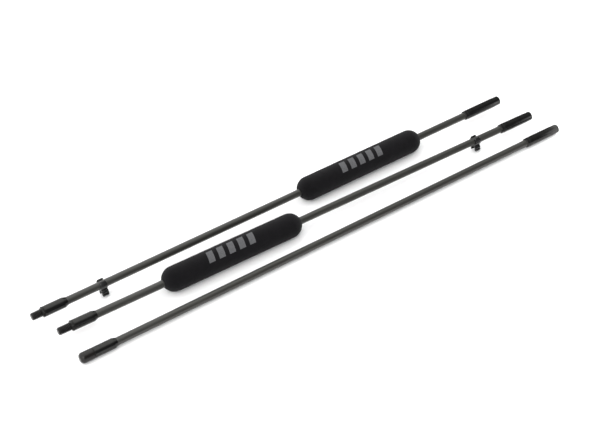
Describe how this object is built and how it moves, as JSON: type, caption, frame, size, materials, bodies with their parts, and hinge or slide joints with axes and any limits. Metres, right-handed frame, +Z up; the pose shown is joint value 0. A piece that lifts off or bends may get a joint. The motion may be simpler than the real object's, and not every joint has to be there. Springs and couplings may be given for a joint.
{
  "type": "boom pole",
  "caption": "Thin screw-together boom pole, taken apart into sections laid side by side, with threaded ends, foam hand grips, small cable clips and a tip cap.",
  "frame": {"origin": "on the floor, under the middle of the footprint", "axes": "+X along the middle section, from its stud towards its socket; +Y from the front section towards the rear section; +Z up"},
  "size_m": [0.7144, 0.1082, 0.0302],
  "materials": {
    "carbon_tube": "satin",
    "black_anodised": "satin",
    "black_steel": "satin",
    "brass_thread": "satin",
    "foam": "matte",
    "clip_plastic": "matte",
    "cap_vinyl": "satin"
  },
  "bodies": {
    "middle_section": {"middle_tube": "carbon_tube", "middle_ferrule": "black_anodised", "middle_collar": "black_anodised", "middle_barrel": "black_anodised", "middle_insert": "brass_thread", "middle_stud": "black_steel", "middle_grip": "foam"},
    "rear_section": {"rear_tube": "carbon_tube", "rear_ferrule": "black_anodised", "rear_collar": "black_anodised", "rear_barrel": "black_anodised", "rear_insert": "brass_thread", "rear_stud": "black_steel", "rear_grip": "foam"},
    "front_section": {"front_tube": "carbon_tube", "front_ferrule": "black_anodised", "front_collar": "black_anodised", "front_barrel": "black_anodised", "front_insert": "brass_thread", "front_tip_stud": "black_steel"},
    "rear_lock_ring_body": {"rear_lock_ring": "black_anodised"},
    "middle_lock_ring_body": {"middle_lock_ring": "black_anodised"},
    "rear_cable_clip_body": {"rear_cable_clip": "clip_plastic"},
    "middle_cable_clip_body": {"middle_cable_clip": "clip_plastic"},
    "front_tip_cap_body": {"front_tip_cap": "cap_vinyl"}
  },
  "joints": [
    {"name": "rear_section_set_aside", "type": "slide", "parent": "middle_section", "child": "rear_section", "axis": [0, 1, 0], "range_m": [0, 0.25]},
    {"name": "front_section_set_aside", "type": "slide", "parent": "middle_section", "child": "front_section", "axis": [0, -1, 0], "range_m": [0, 0.25]},
    {"name": "rear_lock_ring_travel", "type": "slide", "parent": "rear_section", "child": "rear_lock_ring_body", "axis": [-0.9998, -0.019, 0], "range_m": [0, 0.008]},
    {"name": "middle_lock_ring_travel", "type": "slide", "parent": "middle_section", "child": "middle_lock_ring_body", "axis": [-1, 0, 0], "range_m": [0, 0.011]},
    {"name": "tip_cap_pull_off", "type": "slide", "parent": "front_section", "child": "front_tip_cap_body", "axis": [-0.9999, -0.0131, 0], "range_m": [0, 0.04]},
    {"name": "rear_clip_slide", "type": "slide", "parent": "rear_section", "child": "rear_cable_clip_body", "axis": [0.9998, 0.019, 0], "range_m": [-0.038, 0.265]},
    {"name": "middle_clip_slide", "type": "slide", "parent": "middle_section", "child": "middle_cable_clip_body", "axis": [1, 0, 0], "range_m": [-0.265, 0.034]}
  ]
}
